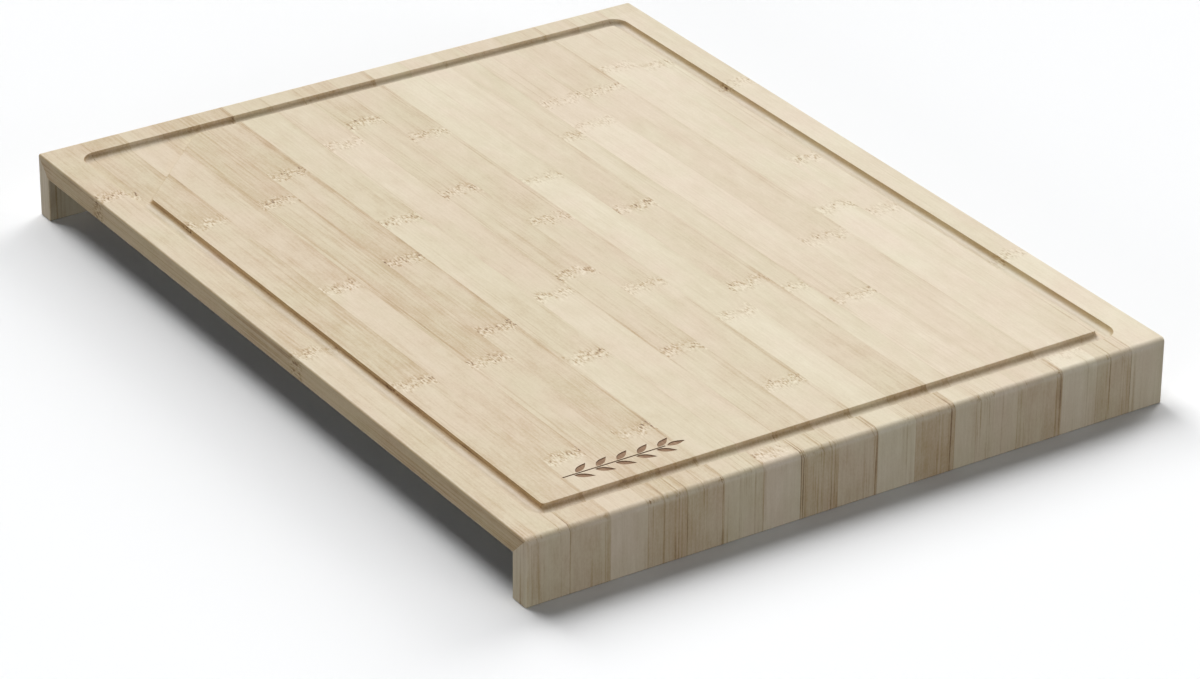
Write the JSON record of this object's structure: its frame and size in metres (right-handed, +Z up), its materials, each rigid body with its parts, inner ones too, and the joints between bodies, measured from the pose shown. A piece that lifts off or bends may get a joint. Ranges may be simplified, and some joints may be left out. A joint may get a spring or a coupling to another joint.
{
  "type": "cutting board",
  "caption": "Rectangular bamboo cutting board glued up from staves, with a juice groove and corner pool, and a turned-down lip along each short end.",
  "frame": {"origin": "under the middle of the board, on the surface that its two lips stand on", "axes": "+X across the staves, +Y along the staves towards the end with the juice pool, +Z up through the cutting face"},
  "size_m": [0.35, 0.455, 0.034],
  "materials": {
    "bamboo_pale": "fine sanded, lightly oiled, satin",
    "bamboo_natural": "fine sanded, lightly oiled, satin",
    "bamboo_honey": "fine sanded, lightly oiled, satin"
  },
  "bodies": {
    "root": {"panel_stave_01": "bamboo_natural", "panel_stave_02": "bamboo_natural", "panel_stave_03": "bamboo_pale", "panel_stave_04": "bamboo_honey", "panel_stave_05": "bamboo_honey", "panel_stave_06": "bamboo_pale", "panel_stave_07": "bamboo_natural", "panel_stave_08": "bamboo_honey", "panel_stave_09": "bamboo_natural", "panel_stave_10": "bamboo_pale", "panel_stave_11": "bamboo_honey", "panel_stave_12": "bamboo_natural", "panel_stave_13": "bamboo_pale", "panel_stave_14": "bamboo_honey", "panel_stave_15": "bamboo_pale", "panel_stave_16": "bamboo_natural", "panel_stave_17": "bamboo_natural", "front_lip_stave_01": "bamboo_natural", "front_lip_stave_02": "bamboo_natural", "front_lip_stave_03": "bamboo_pale", "front_lip_stave_04": "bamboo_honey", "front_lip_stave_05": "bamboo_honey", "front_lip_stave_06": "bamboo_pale", "front_lip_stave_07": "bamboo_natural", "front_lip_stave_08": "bamboo_honey", "front_lip_stave_09": "bamboo_natural", "front_lip_stave_10": "bamboo_pale", "front_lip_stave_11": "bamboo_honey", "front_lip_stave_12": "bamboo_natural", "front_lip_stave_13": "bamboo_pale", "front_lip_stave_14": "bamboo_honey", "front_lip_stave_15": "bamboo_pale", "front_lip_stave_16": "bamboo_natural", "front_lip_stave_17": "bamboo_natural", "rear_lip_stave_01": "bamboo_natural", "rear_lip_stave_02": "bamboo_natural", "rear_lip_stave_03": "bamboo_pale", "rear_lip_stave_04": "bamboo_honey", "rear_lip_stave_05": "bamboo_honey", "rear_lip_stave_06": "bamboo_pale", "rear_lip_stave_07": "bamboo_natural", "rear_lip_stave_08": "bamboo_honey", "rear_lip_stave_09": "bamboo_natural", "rear_lip_stave_10": "bamboo_pale", "rear_lip_stave_11": "bamboo_honey", "rear_lip_stave_12": "bamboo_natural", "rear_lip_stave_13": "bamboo_pale", "rear_lip_stave_14": "bamboo_honey", "rear_lip_stave_15": "bamboo_pale", "rear_lip_stave_16": "bamboo_natural", "rear_lip_stave_17": "bamboo_natural"}
  },
  "joints": []
}
